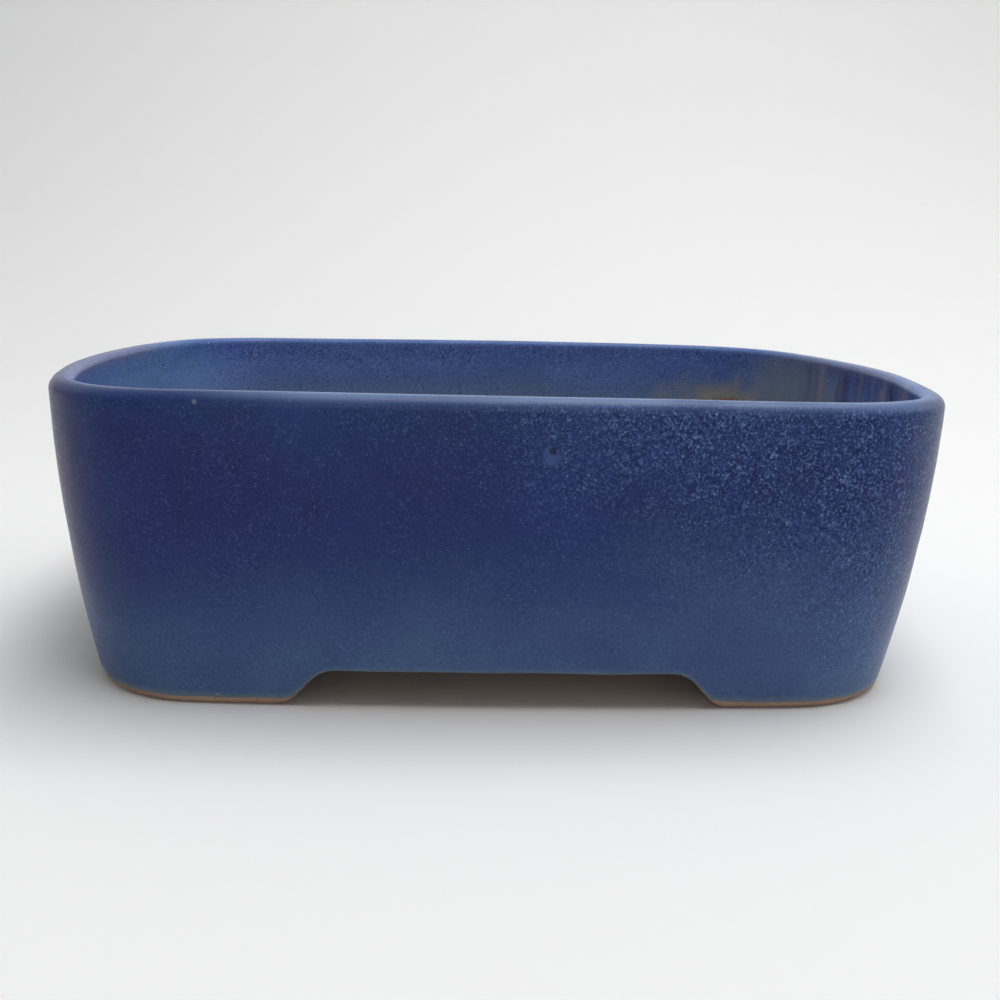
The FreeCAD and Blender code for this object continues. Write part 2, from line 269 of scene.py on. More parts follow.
def lower_edge():
    """The lower edge's height at every column, with the slight wander of a hand-held knife."""
    foot = outer_face(2.0)
    x = PLACES[:, 0] + NORMALS[:, 0] * foot
    y = PLACES[:, 1] + NORMALS[:, 1] * foot
    height = np.where(ON_SIDE, arch_height(x - ARCH_SHIFT, SIDE_ARCH), arch_height(y, END_ARCH))
    wander = smooth_noise(PLACES, 24.0, 1) * 0.12 - 0.1
    return height + wander * smoothstep(0.5, FLOOR_BOTTOM, height)


LOWER_EDGE = lower_edge()
IN_ARCH = smoothstep(0.0, FLOOR_BOTTOM * 0.7, LOWER_EDGE)
ON_SLOPE = smoothstep(0.0, FLOOR_BOTTOM * 0.28, LOWER_EDGE)
CLAY_ROUND = FOOT_ROUND + (ARCH_ROUND - FOOT_ROUND) * ON_SLOPE
GLAZE_ROUND = (ARCH_ROUND + GLAZE) * (0.15 + 0.85 * IN_ARCH)
BARE = (BARE_FOOT - 0.15 + 0.2 * smooth_noise(PLACES, 13.0, 2)) * (1 - ON_SLOPE)
GLAZE_LINE = LOWER_EDGE + BARE


def outer_path(along):
    """The outer glaze surface, from the crest of the lip down and round the lower edge.

    along holds, for each row and column, the share of the way: 0 to 1 on the lip, 1 to 2 down the
    wall, 2 to 3 round the lower edge: barely at a foot, and right under it in an arch.
    """
    edge = GLAZE_LINE[None]
    radius = GLAZE_ROUND[None]
    turn_start = np.arcsin((CURVE_HEIGHT - edge - radius) / OUTER_CURVE)
    wall_end = edge + radius * (1 - np.sin(turn_start))
    top_run = LIP_OUT - CREST
    lip_run = top_run + LIP_OUTER * math.pi / 2
    lip = np.clip(along, 0, 1) * lip_run
    lip_turn = np.clip((lip - top_run) / LIP_OUTER, 0, math.pi / 2)
    rho_lip = CREST + np.minimum(lip, top_run) + LIP_OUTER * np.sin(lip_turn)
    z_lip = HEIGHT - LIP_OUTER + LIP_OUTER * np.cos(lip_turn)
    first = math.asin((CURVE_HEIGHT - HEIGHT + LIP_OUTER) / OUTER_CURVE)
    last = np.arcsin((CURVE_HEIGHT - wall_end) / OUTER_CURVE)
    angle = first + (last - first) * np.clip(along - 1, 0, 1)
    rho_wall = OUTER_CURVE * np.cos(angle) - OUTER_RIM
    z_wall = CURVE_HEIGHT - OUTER_CURVE * np.sin(angle)
    end_turn = last + math.radians(4) + math.radians(60) * IN_ARCH[None]
    turn = last + (end_turn - last) * np.clip(along - 2, 0, 1)
    rho_edge = outer_face(wall_end) + radius * (np.cos(turn) - np.cos(last))
    z_edge = wall_end - radius * (np.sin(turn) - np.sin(last))
    rho = np.where(along <= 1, rho_lip, np.where(along <= 2, rho_wall, rho_edge))
    z = np.where(along <= 1, z_lip, np.where(along <= 2, z_wall, z_edge))
    return rho, z


def inner_path(along, end_height):
    """The inner glaze surface: 0 to 1 from the crest round the lip's inner edge, 1 to 2 down to its end."""
    top_run = CREST - LIP_IN
    lip_run = top_run + LIP_INNER * math.pi / 2
    lip = np.clip(along, 0, 1) * lip_run
    lip_turn = np.clip((lip - top_run) / LIP_INNER, 0, math.pi / 2)
    rho_lip = CREST - np.minimum(lip, top_run) - LIP_INNER * np.sin(lip_turn)
    z_lip = HEIGHT - LIP_INNER + LIP_INNER * np.cos(lip_turn)
    first = math.asin((CURVE_HEIGHT - HEIGHT + LIP_INNER) / INNER_CURVE)
    last = np.arcsin((CURVE_HEIGHT - end_height) / INNER_CURVE)
    angle = first + (last - first) * np.clip(along - 1, 0, 1)
    rho_wall = INNER_CURVE * np.cos(angle) - INNER_RIM - RIM_THICKNESS
    z_wall = CURVE_HEIGHT - INNER_CURVE * np.sin(angle)
    return np.where(along <= 1, rho_lip, rho_wall), np.where(along <= 1, z_lip, z_wall)


def section_normals(rho, z, outward):
    """Unit normals of a section's lines; outward is +1 or -1 for the side they point to."""
    d_rho = np.gradient(rho, axis=0)
    d_z = np.gradient(z, axis=0)
    size = np.sqrt(d_rho ** 2 + d_z ** 2) + 1e-9
    return -outward * d_z / size, outward * d_rho / size


# ---- the warp that hand work gives the whole pot ----------------------------------------------

def near(flat, x, y, spread_x, spread_y):
    """1 at a place on the plan, whose corners are at -1 and 1, falling smoothly to 0 round it."""
    return np.exp(-((flat[..., 0] - x) ** 2 / spread_x + (flat[..., 1] - y) ** 2 / spread_y))


def warp(points):
    """Walls pushed a little in and out, and a rim that isn't quite level; the feet stay on the ground."""
    sway_size = 0.14
    pull_in = 0.12
    corner_push = 0.8
    up = np.clip(points[..., 2:] / HEIGHT, 0, 1)
    sway = np.stack([
        smooth_noise(points, 90.0, 11) * sway_size - np.tanh(points[..., 0] / 20) * pull_in,
        smooth_noise(points, 90.0, 12) * sway_size - np.tanh(points[..., 1] / 20) * pull_in,
    ], axis=-1)
    flat = points[..., :2] / [HALF_LENGTH, HALF_WIDTH]
    sway[..., 0] += corner_push * near(flat, 0.9, -0.8, 0.06, 0.06) * up[..., 0]
    sag = 0.2 + 0.1 * smooth_noise(points[..., :2], 70.0, 13)
    sag += 0.25 * near(flat, -0.62, 1, 0.1, 0.1)
    sag -= 0.25 * near(flat, 0, -1, 0.3, 0.4)
    sag -= 0.22 * near(flat, 0.15, 1, 0.25, 0.4)
    drop = np.maximum(sag, 0.0)[..., None] * up ** 2
    return points + np.concatenate([sway * (0.35 + 0.65 * up), -drop], axis=-1)


# ---- meshes -----------------------------------------------------------------------------------

def quads(rows, columns, closed):
    """Faces of a grid of points whose rows close on themselves, and its columns too if closed."""
    i, j = np.meshgrid(np.arange(rows), np.arange(columns if closed else columns - 1), indexing="ij")
    i2 = (i + 1) % rows
    j2 = (j + 1) % columns
    corners = [i * columns + j, i2 * columns + j, i2 * columns + j2, i * columns + j2]
    return np.stack([corner.ravel() for corner in corners], axis=1)


def new_piece(name, points, faces, material, nodes, lengths=None):
    """Make a mesh object; lengths holds numbers for each point, which the material reads by name."""
    mesh = bpy.data.meshes.new(name)
    mesh.from_pydata((points * MM).tolist(), [], faces)
    mesh.update()
    for key, values in (lengths or {}).items():
        stored = mesh.attributes.new(key, "FLOAT", "POINT")
        stored.data.foreach_set("value", values.astype(np.float32).ravel())
    mesh.materials.append(material)
    piece = bpy.data.objects.new(name, mesh)
    bpy.context.collection.objects.link(piece)
    mesh.shade_smooth()
    mesh.set_sharp_from_angle(angle=math.radians(50))
    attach(piece, "root")
    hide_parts(*nodes)
    return piece


def outward_faces(points, faces):
    """The same faces, all turned over if they enclose a negative volume."""
    triangles = np.array([[f[0], f[k], f[k + 1]] for f in faces for k in range(1, len(f) - 1)])
    a, b, c = (points[triangles[:, n]] for n in range(3))
    volume = np.einsum("ij,ij->i", a, np.cross(b, c)).sum()
    return [f[::-1] for f in faces] if volume < 0 else faces


def sweep(name, columns, rho, z, material, nodes, closed=False, move=None, lengths=None):
    """A closed section swept along some columns of the outline, as one closed mesh."""
    points = in_space(columns, rho, z)
    if move is not None:
        points = move(points)
    points = warp(points)
    rows, count = points.shape[:2]
    faces = [tuple(face) for face in quads(rows, count, closed).tolist()]
    if not closed:
        faces.append(tuple(i * count for i in range(rows)))
        faces.append(tuple(i * count + count - 1 for i in reversed(range(rows))))
    points = points.reshape(-1, 3)
    return new_piece(name, points, outward_faces(points, faces), material, nodes, lengths)


# ---- materials --------------------------------------------------------------------------------

class Nodes:
    """Short calls for building one material's node tree. Positions and sizes are in millimetres."""

    def __init__(self, name):
        self.material = bpy.data.materials.new(name)
        self.material.use_nodes = True
        self.tree = self.material.node_tree
        self.shader = self.tree.nodes["Principled BSDF"]
        place = self.tree.nodes.new("ShaderNodeTexCoord").outputs["Object"]
        self.place = self.vector("SCALE", place, scale=1 / MM)

    def add(self, kind, values, output=0, **settings):
        node = self.tree.nodes.new(kind)
        for key, value in settings.items():
            setattr(node, key, value)
        for key, value in values.items():
            self.feed(node.inputs[key], value)
        return node.outputs[output]

    def feed(self, socket, value):
        if isinstance(value, bpy.types.NodeSocket):
            self.tree.links.new(value, socket)
        else:
            socket.default_value = value

    def vector(self, operation, first, second=(0, 0, 0), scale=1.0):
        values = {0: first, 1: second}
        if operation == "SCALE":
            values = {0: first, "Scale": scale}
        return self.add("ShaderNodeVectorMath", values, operation=operation)

    def math(self, operation, first, second=0.5, clamp=False):
        return self.add("ShaderNodeMath", {0: first, 1: second}, operation=operation, use_clamp=clamp)

    def noise(self, size, detail=2.0, roughness=0.5, distortion=0.0, place=None):
        """Noise whose blotches are about size millimetres across, from 0 to 1."""
        values = {"Vector": place or self.place, "Scale": 1 / size, "Detail": detail}
        values.update({"Roughness": roughness, "Distortion": distortion})
        return self.add("ShaderNodeTexNoise", values)

    def attribute(self, name):
        """A length in millimetres that new_piece stored at each point."""
        return self.add("ShaderNodeAttribute", {}, output=2, attribute_name=name)

    def ramp(self, value, low, high, to_low=0.0, to_high=1.0):
        values = {"Value": value, "From Min": low, "From Max": high, "To Min": to_low, "To Max": to_high}
        return self.add("ShaderNodeMapRange", values, interpolation_type="SMOOTHSTEP")

    def mix(self, factor, first, second, blend="MIX"):
        values = {0: factor, 6: first, 7: second}
        return self.add("ShaderNodeMix", values, output=2, data_type="RGBA", blend_type=blend)

    def axis(self, name):
        return self.add("ShaderNodeSeparateXYZ", {0: self.place}, output="XYZ".index(name))

    def spot(self, centre, radii, soft=0.5, ragged=0.0, grain=4.0):
        """1 inside an ellipsoid and 0 outside, over a soft edge, which noise can make ragged."""
        away = self.vector("SUBTRACT", self.place, centre)
        away = self.vector("DIVIDE", away, radii)
        length = self.add("ShaderNodeVectorMath", {0: away}, output=1, operation="LENGTH")
        if ragged:
            rough = self.math("MULTIPLY", self.math("SUBTRACT", self.noise(grain, 3.0), 0.5), ragged)
            length = self.math("ADD", length, rough)
        return self.ramp(length, 1 - soft, 1 + soft, 1.0, 0.0)

    def bump(self, height, distance, strength=1.0, normal=None):
        values = {"Height": height, "Distance": distance * MM, "Strength": strength}
        if normal is not None:
            values["Normal"] = normal
        return self.add("ShaderNodeBump", values)


def rgb(red, green, blue):
    """A colour as it looks on a screen, 0 to 255, as the linear numbers that a shader takes."""
    linear = [((c / 255 + 0.055) / 1.055) ** 2.4 if c > 10 else c / 255 / 12.92 for c in (red, green, blue)]
    return (*linear, 1.0)


COBALT_DARK = rgb(25, 38, 88)       # the outer glaze where it is thick
COBALT = rgb(32, 47, 101)           # and where it is less so
# painted light: the glaze lighter towards the right end, as if lit from the right
COBALT_PAINTED_RIGHT_LIGHT = rgb(38, 58, 112)     # towards the right end
# painted bounce light: the outer glaze paler towards the feet, as if lit from the floor
COBALT_PAINTED_BOUNCE = rgb(80, 104, 142)      # towards the feet
COBALT_HIGH = rgb(34, 62, 110)      # near the lip
PLUM = rgb(38, 36, 96)
PURPLE = rgb(52, 42, 86)            # at the left front corner
# the lip's colour: partly thin glaze, partly a painted highlight
LIP_OUTSIDE_THIN_AND_HIGHLIT = rgb(120, 143, 182)
WORN_OUTSIDE = rgb(96, 90, 118)
THIN_OUTSIDE = rgb(112, 128, 128)   # along the glaze's lower edge
CRATER_HALO = rgb(84, 112, 164)
# painted shade: the pit of the burst bubble painted dark, for the shade inside it
CRATER_PIT_SHADE = rgb(24, 26, 54)
CHIPPED = rgb(52, 40, 48)
FLECK = rgb(176, 184, 190)
# the inner glaze: paler partly for thin glaze, partly as painted light for the light that falls into the pot
INSIDE_DARK = rgb(74, 102, 172)     # the inner glaze
INSIDE = rgb(94, 124, 188)
INSIDE_LOW = rgb(112, 136, 164)
INSIDE_HIGH = rgb(52, 78, 146)
# the inner lip's colour: partly thin glaze, partly a painted highlight
LIP_INSIDE_THIN_AND_HIGHLIT = rgb(104, 134, 182)
WORN_INSIDE = rgb(112, 104, 124)
THIN_INSIDE = rgb(110, 112, 100)
GREEN_LEFT = rgb(90, 132, 150)
GREEN_RIGHT = rgb(132, 150, 158)
OCHRE = rgb(162, 162, 126)
RUST = rgb(136, 88, 70)
RUN_DARK = rgb(52, 60, 108)
RUN_PALE = rgb(146, 144, 160)
SLIT = rgb(34, 38, 70)
CLAY_DARK = rgb(146, 116, 98)       # bare stoneware
CLAY_PALE = rgb(166, 136, 116)
CLAY_GRAIN = rgb(204, 184, 164)
CLAY_GRIT = rgb(104, 84, 74)
PAPER = rgb(240, 240, 240)
DARK_SPECK = (0.36, 0.4, 0.55, 1.0)  # multiplies the glaze's colour
PALE_SPECK = (0.06, 0.095, 0.15, 1.0)  # added to it
PALE_DOT = (0.09, 0.13, 0.18, 1.0)


def speckle(n, colour, strength):
    """Darker and paler specks of a few tenths of a millimetre, as strong as the strength socket says."""
    coarse = n.noise(0.9, 2.0, 0.6)
    fine = n.noise(0.42, 1.5, 0.6)
    patches = n.ramp(n.noise(5.0, 2.0), 0.35, 0.65, 0.65, 1.15)
    strength = n.math("MULTIPLY", strength, patches)
    dot_spacing = 0.8
    for grain, amount in ((coarse, 0.3), (fine, 0.8)):
        dark = n.math("MULTIPLY", n.ramp(grain, 0.26, 0.52, amount, 0.0), strength)
        colour = n.mix(dark, colour, DARK_SPECK, "MULTIPLY")
        light = n.math("MULTIPLY", n.ramp(grain, 0.5, 0.76, 0.0, amount), strength)
        colour = n.mix(light, colour, PALE_SPECK, "ADD")
    dots = n.add("ShaderNodeTexVoronoi", {"Vector": n.place, "Scale": 1 / dot_spacing})
    dots = n.math("MULTIPLY", n.ramp(dots, 0.1, 0.28, 0.9, 0.0), n.ramp(coarse, 0.42, 0.58))
    return n.mix(n.math("MULTIPLY", dots, strength), colour, PALE_DOT, "ADD"), coarse, fine


def glaze_surface(n, colour, coarse, fine, smooth, rough):
    """Send the colour to the shader, with the orange peel and roughness that fired glaze has."""
    normal = n.bump(n.noise(3.2, 2.0, 0.5), 0.05, 0.6)
    normal = n.bump(coarse, 0.02, 0.5, normal)
    normal = n.bump(fine, 0.008, 0.5, normal)
    n.feed(n.shader.inputs["Base Color"], colour)
    n.feed(n.shader.inputs["Roughness"], n.ramp(coarse, 0.3, 0.7, smooth, rough))
    n.feed(n.shader.inputs["Normal"], normal)
    n.shader.inputs["IOR"].default_value = 1.22
    n.shader.inputs["Coat Weight"].default_value = 0.05
    n.shader.inputs["Coat Roughness"].default_value = 0.12
    n.shader.inputs["Coat IOR"].default_value = 1.4
    return n.material


def outer_glaze_material():
    """Cobalt glaze: dark at mid height; painted light makes it paler below, as if lit from the floor, and
    lighter towards the right end, as if lit from the right; the lip is paler for thin glaze and a painted
    highlight, and it is speckled towards the upper right.
    """
    n = Nodes("blue_glaze_outside")
    height = n.axis("Z")
    across = n.axis("X")
    cloud = n.noise(24.0, 3.0, 0.55, 0.4)
    drift = n.math("MULTIPLY", n.math("SUBTRACT", cloud, 0.5), 24.0)
    level = n.math("ADD", height, drift)
    colour = n.mix(n.ramp(cloud, 0.3, 0.7), COBALT_DARK, COBALT)
    # painted light: lighter towards the right end, as if lit from the right
    colour = n.mix(n.ramp(across, -60.0, 80.0, 0.0, 0.35), colour, COBALT_PAINTED_RIGHT_LIGHT)
    # painted bounce light: paler low down, reaching higher towards the right, as if lit from the floor
    low = n.math("SUBTRACT", level, n.math("MULTIPLY", across, 0.08))
    colour = n.mix(n.ramp(low, -8.0, 36.0, 0.92, 0.0), colour, COBALT_PAINTED_BOUNCE)
    colour = n.mix(n.ramp(level, 38.0, 50.0, 0.0, 0.3), colour, COBALT_HIGH)
    plum = n.noise(30.0, 2.0, 0.5, 0.3, n.vector("ADD", n.place, (310, 40, 90)))
    colour = n.mix(n.ramp(plum, 0.56, 0.74, 0.0, 0.22), colour, PLUM)
    left = n.spot((-HALF_LENGTH + 9, -HALF_WIDTH + 8, 40.0), (5.0, 14.0, 26.0), 0.5, 0.4, 9.0)
    colour = n.mix(n.math("MULTIPLY", left, 0.35), colour, PURPLE)
    reach = n.math("ADD", n.math("MULTIPLY", across, 0.5), level)
    strength = n.ramp(reach, 30.0, 68.0, 0.3, 1.7)
    to_crest = n.attribute("to_crest")
    strength = n.math("MULTIPLY", strength, n.ramp(to_crest, 1.2, 3.0, 0.4, 1.0))
    colour, coarse, fine = speckle(n, colour, strength)
    # the lip painted paler: partly thin glaze, partly a painted highlight
    paler = n.math("MULTIPLY", n.ramp(to_crest, 0.6, 3.9, 0.72, 0.0), lip_thin_glaze_and_highlight(n))
    colour = n.mix(paler, colour, LIP_OUTSIDE_THIN_AND_HIGHLIT)
    worn = n.math("MAXIMUM", worn_line(n, to_crest), worn_ends(n, to_crest))
    colour = n.mix(worn, colour, WORN_OUTSIDE)
    thin = n.math("ADD", n.attribute("to_edge"), n.math("MULTIPLY", n.noise(1.5, 3.0), 0.9))
    colour = n.mix(n.ramp(thin, 0.4, 2.2, 0.6, 0.0), colour, THIN_OUTSIDE)
    pit = n.spot((CRATER[0], -HALF_WIDTH, CRATER[1]), (0.66, 6.0, 0.58), 0.4, 1.3, 0.7)
    halo = n.spot((CRATER[0] - 0.2, -HALF_WIDTH, CRATER[1] - 0.8), (1.1, 6.0, 1.5), 0.6, 1.2, 1.2)
    colour = n.mix(n.math("MULTIPLY", halo, 0.3), colour, CRATER_HALO)
    # painted shade: dark colour in the pit, for the shade inside it
    colour = n.mix(n.math("MULTIPLY", pit, 0.8), colour, CRATER_PIT_SHADE)
    chip = n.spot((CHIP[0], CHIP[1], HEIGHT), (1.6, 1.6, 1.2), 0.3, 0.8, 1.2)
    colour = n.mix(chip, colour, CHIPPED)
    for x, z, size, strength in FLECKS:
        fleck = n.spot((x, -HALF_WIDTH, z), (size, 30.0, size), 0.3, 0.8, 0.8)
        colour = n.mix(n.math("MULTIPLY", fleck, strength), colour, FLECK)
    return glaze_surface(n, colour, coarse, fine, 0.28, 0.4)


def lip_thin_glaze_and_highlight(n):
    """How pale the lip is painted, partly for thin glaze and partly as a painted highlight: it changes
    slowly, is weaker at the front left and stronger towards the right end.
    """
    # the lip painted less pale at the front left
    thick = n.spot((-62.0, -54.0, HEIGHT), (26.0, 16.0, 9.0), 0.5)
    patches = n.ramp(n.noise(16.0, 2.0), 0.35, 0.65, 0.6, 1.0)
    # painted highlight: stronger towards the right end, as if lit from the right
    patches = n.math("MULTIPLY", patches, n.ramp(n.axis("X"), 20.0, 60.0, 1.0, 1.25))
    return n.math("MULTIPLY", patches, n.math("SUBTRACT", 1.0, n.math("MULTIPLY", thick, 0.75)))


def worn_line(n, to_crest):
    """A broken line outside the lip, where the glaze ran off it, except at the front."""
    line = n.math("MULTIPLY", n.ramp(to_crest, 1.0, 1.9), n.ramp(to_crest, 2.4, 3.6, 1.0, 0.0))
    line = n.math("MULTIPLY", line, n.ramp(n.noise(9.0, 3.0), 0.4, 0.6, 0.2, 0.85))
    return n.math("MULTIPLY", line, n.ramp(n.axis("Y"), -HALF_WIDTH + 4, -HALF_WIDTH + 18))


def worn_ends(n, to_crest):
    """Thin glaze all over the lip at both ends of the pot, more so at the left."""
    left = n.spot((-HALF_LENGTH, -6.0, HEIGHT), (18.0, 36.0, 4.0), 0.4, 0.6, 9.0)
    right = n.spot((HALF_LENGTH, 16.0, HEIGHT), (18.0, 28.0, 4.0), 0.5, 0.6, 9.0)
    ends = n.math("MAXIMUM", n.math("MULTIPLY", left, 0.6), n.math("MULTIPLY", right, 0.5))
    return n.math("MULTIPLY", ends, n.ramp(to_crest, 2.2, 4.0, 0.85, 0.0))


def inner_glaze_material():
    """The same glaze inside, thinner, and painted lighter as well for the light that falls into the pot:
    greener towards the floor, with a stain and pale runs at one end.
    """
    n = Nodes("blue_glaze_inside")
    height = n.axis("Z")
    across = n.axis("X")
    cloud = n.noise(20.0, 3.0, 0.55, 0.4)
    drift = n.math("MULTIPLY", n.math("SUBTRACT", cloud, 0.5), 14.0)
    level = n.math("ADD", height, drift)
    # painted light: the inner base colours lightened for the light that falls into the pot
    colour = n.mix(n.ramp(cloud, 0.3, 0.7), INSIDE_DARK, INSIDE)
    colour = n.mix(n.ramp(level, 34.0, 45.0, 0.8, 0.0), colour, INSIDE_LOW)
    colour = n.mix(n.ramp(level, 45.0, 49.0, 0.0, 0.5), colour, INSIDE_HIGH)
    strength = n.ramp(level, 42.0, 49.0, 0.7, 1.3)
    colour, coarse, fine = speckle(n, colour, strength)
    colour = inner_stains(n, colour, height, across)
    to_crest = n.attribute("to_crest")
    # the inner lip painted paler: partly thin glaze, partly a painted highlight
    paler = n.math("MULTIPLY", n.ramp(to_crest, 1.2, 3.0, 0.62, 0.0), lip_thin_glaze_and_highlight(n))
    colour = n.mix(paler, colour, LIP_INSIDE_THIN_AND_HIGHLIT)
    colour = n.mix(n.math("MULTIPLY", worn_ends(n, to_crest), 0.8), colour, WORN_INSIDE)
    thin = n.math("ADD", n.attribute("to_edge"), n.math("MULTIPLY", n.noise(2.0, 3.0), 1.5))
    colour = n.mix(n.ramp(thin, 0.8, 4.0, 0.8, 0.0), colour, THIN_INSIDE)
    return glaze_surface(n, colour, coarse, fine, 0.28, 0.4)


def inner_stains(n, colour, height, across):
    """What ran and pooled inside: green at the left, ochre at the back right, pale runs down the right."""
    green = n.spot((-72.0, 14.0, 43.0), (14.0, 34.0, 7.0), 0.7, 0.8, 12.0)
    colour = n.mix(n.math("MULTIPLY", green, 0.3), colour, GREEN_LEFT)
    green = n.spot((74.0, 34.0, 43.0), (14.0, 20.0, 7.0), 0.6, 0.8, 8.0)
    colour = n.mix(n.math("MULTIPLY", green, 0.6), colour, GREEN_RIGHT)
    ochre = n.spot((59.5, 52.0, 37.5), (13.0, 9.0, 4.4), 0.8, 1.8, 4.0)
    colour = n.mix(n.math("MULTIPLY", ochre, 0.6), colour, OCHRE)
    rust = n.spot((60.5, 51.0, 37.6), (5.0, 6.0, 1.4), 0.5, 2.6, 1.0)
    colour = n.mix(n.math("MULTIPLY", rust, 0.75), colour, RUST)
    flat = n.vector("MULTIPLY", n.place, (1.0, 1.0, 0.08))
    runs = n.noise(6.0, 2.5, 0.55, 0.0, flat)
    end = n.math("MULTIPLY", n.ramp(across, 68.0, 75.0), n.ramp(height, 51.0, 48.0))
    dark = n.math("MULTIPLY", n.ramp(runs, 0.3, 0.56, 0.55, 0.0), end)
    colour = n.mix(dark, colour, RUN_DARK)
    for y, width, strength in END_RUNS:
        run = n.spot((HALF_LENGTH - 5, y, 44.0), (9.0, width, 6.5), 0.8, 1.2, 2.5)
        colour = n.mix(n.math("MULTIPLY", run, strength), colour, RUN_PALE)
    slit = n.spot((HALF_LENGTH - 5, -15.5, 45.0), (9.0, 1.0, 5.0), 0.5, 0.6, 2.0)
    return n.mix(n.math("MULTIPLY", slit, 0.8), colour, SLIT)


def clay_material():
    """Bare fired stoneware, a little rough, with paler grains and dark grit."""
    n = Nodes("bare_stoneware")
    cloud = n.noise(18.0, 3.0, 0.6)
    grain = n.noise(0.6, 3.0, 0.7)
    grit = n.noise(1.6, 2.0, 0.5)
    colour = n.mix(n.ramp(cloud, 0.3, 0.7), CLAY_DARK, CLAY_PALE)
    colour = n.mix(n.ramp(grain, 0.56, 0.76, 0.0, 0.5), colour, CLAY_GRAIN)
    colour = n.mix(n.ramp(grit, 0.28, 0.4, 0.6, 0.0), colour, CLAY_GRIT)
    normal = n.bump(grit, 0.12, 0.5)
    normal = n.bump(grain, 0.06, 0.6, normal)
    n.feed(n.shader.inputs["Base Color"], colour)
    n.feed(n.shader.inputs["Roughness"], n.ramp(grain, 0.3, 0.7, 0.78, 0.95))
    n.feed(n.shader.inputs["Normal"], normal)
    return n.material


GLAZE_OUT = outer_glaze_material()
GLAZE_IN = inner_glaze_material()
CLAY = clay_material()


# ---- glaze coats ------------------------------------------------------------------------------

def rolled_edge(distance, width=0.5):
    """How far a coat's surface falls back towards the clay near its edge, as a share of its thickness."""
    near = np.clip(1 - distance / width, 0, 1)
    return 1 - np.sqrt(1 - near ** 2)


def section_lengths(rho, z):
    """Distances along a section from its first row, which is the lip's crest, and from its last."""
    steps = np.sqrt(np.diff(rho, axis=0) ** 2 + np.diff(z, axis=0) ** 2)
    run = np.concatenate([np.zeros((1, rho.shape[1])), np.cumsum(steps, axis=0)])
    return run, run[-1:] - run


def close_coat(rho, z, outward, hidden_rows):
    """Close a coat's section: its seen surface with a rolled edge, and back along the clay."""
    normal_rho, normal_z = section_normals(rho, z, outward)
    to_crest, to_edge = section_lengths(rho, z)
    back = GLAZE * rolled_edge(to_edge)
    seen_rho = rho - back * normal_rho
    seen_z = z - back * normal_z
    sunk = GLAZE + 0.05
    under_rho = (rho - sunk * normal_rho)[hidden_rows]
    under_z = (z - sunk * normal_z)[hidden_rows]
    lengths = {
        "to_crest": np.vstack([to_crest, to_crest[hidden_rows]]),
        "to_edge": np.vstack([to_edge, to_edge[hidden_rows]]),
    }
    return np.vstack([seen_rho, under_rho]), np.vstack([seen_z, under_z]), lengths


def crater_depth(points):
    """How far a burst bubble in the front glaze goes in: a pit, a raised ring and a shallow dish."""
    away = np.hypot(points[..., 0] - CRATER[0], points[..., 2] - CRATER[1])
    dish = 0.08 * np.exp(-(away / 2.0) ** 2)
    ring = -0.08 * np.exp(-((away - 1.0) / 0.25) ** 2)
    pit = 0.2 * (1 - smoothstep(0.35, 0.8, away))
    return np.where(points[..., 1] < 0, dish + ring + pit, 0.0)


def chip_depth(points):
    away = np.hypot(points[..., 0] - CHIP[0], points[..., 1] - CHIP[1])
    high = smoothstep(HEIGHT - 2.2, HEIGHT - 0.6, points[..., 2])
    return 0.24 * (1 - smoothstep(0.3, 1.1, away)) * high


def shift_outward(points, columns, amount):
    moved = points.copy()
    moved[..., :2] += NORMALS[columns][None] * amount[..., None]
    return moved


def make_outer_glaze():
    lip = np.linspace(0, 1, 15)[:-1]
    above_crater = np.linspace(0, 0.10, 5)[:-1]
    at_crater = np.linspace(0.10, 0.22, 17)[:-1]
    below_crater = np.linspace(0.22, 1, 42)[:-1]
    wall = 1 + np.concatenate([above_crater, at_crater, below_crater])
    edge = 2 + np.linspace(0, 1, 9)
    along = np.concatenate([lip, wall, edge])
    rho, z = outer_path(np.broadcast_to(along[:, None], (len(along), COLUMNS)))
    every = 11
    hidden = np.arange(len(along) - 1, -1, -every)
    seen = len(along)
    rho, z, lengths = close_coat(rho, z, 1, hidden)

    def detail(points):
        amount = np.zeros(points.shape[:2])
        surface = points[:seen]
        amount[:seen] = smooth_noise(surface, 6.0, 22) * 0.02 + smooth_noise(surface, 22.0, 23) * 0.04
        amount[:seen] -= crater_depth(surface) + chip_depth(surface)
        return shift_outward(points, ALL_COLUMNS, amount)

    sweep("outer_glaze_coat", ALL_COLUMNS, rho, z, GLAZE_OUT, ["outer_glaze"], True, detail, lengths)


def make_inner_glaze():
    lip = np.linspace(0, 1, 12)[:-1]
    upper = np.linspace(0, 0.93, 46)[:-1]
    last_part = np.linspace(0.93, 1, 9)
    wall = 1 + np.concatenate([upper, last_part])
    along = np.concatenate([lip, wall])
    flow = smooth_noise(PLACES, 36.0, 31) * 1.7 + smooth_noise(PLACES, 12.0, 32) * 0.45
    end_height = GLAZE_END + 3.0 + flow
    rho, z = inner_path(np.broadcast_to(along[:, None], (len(along), COLUMNS)), end_height[None])
    every = 6
    hidden = np.arange(len(along) - 1, -1, -every)
    seen = len(along)
    rho, z, lengths = close_coat(rho, z, -1, hidden)

    def detail(points):
        amount = np.zeros(points.shape[:2])
        surface = points[:seen]
        amount[:seen] = smooth_noise(surface, 6.0, 33) * 0.03
        stretched = surface * [1, 1, 0.12]
        runs = smooth_noise(stretched, 4.5, 34) * smoothstep(60, 74, surface[..., 0])
        amount[:seen] -= 0.10 * runs * (1 - smoothstep(HEIGHT - 5, HEIGHT - 1, surface[..., 2]))
        return shift_outward(points, ALL_COLUMNS, amount)

    sweep("inner_glaze_coat", ALL_COLUMNS, rho, z, GLAZE_IN, ["inner_glaze"], True, detail, lengths)


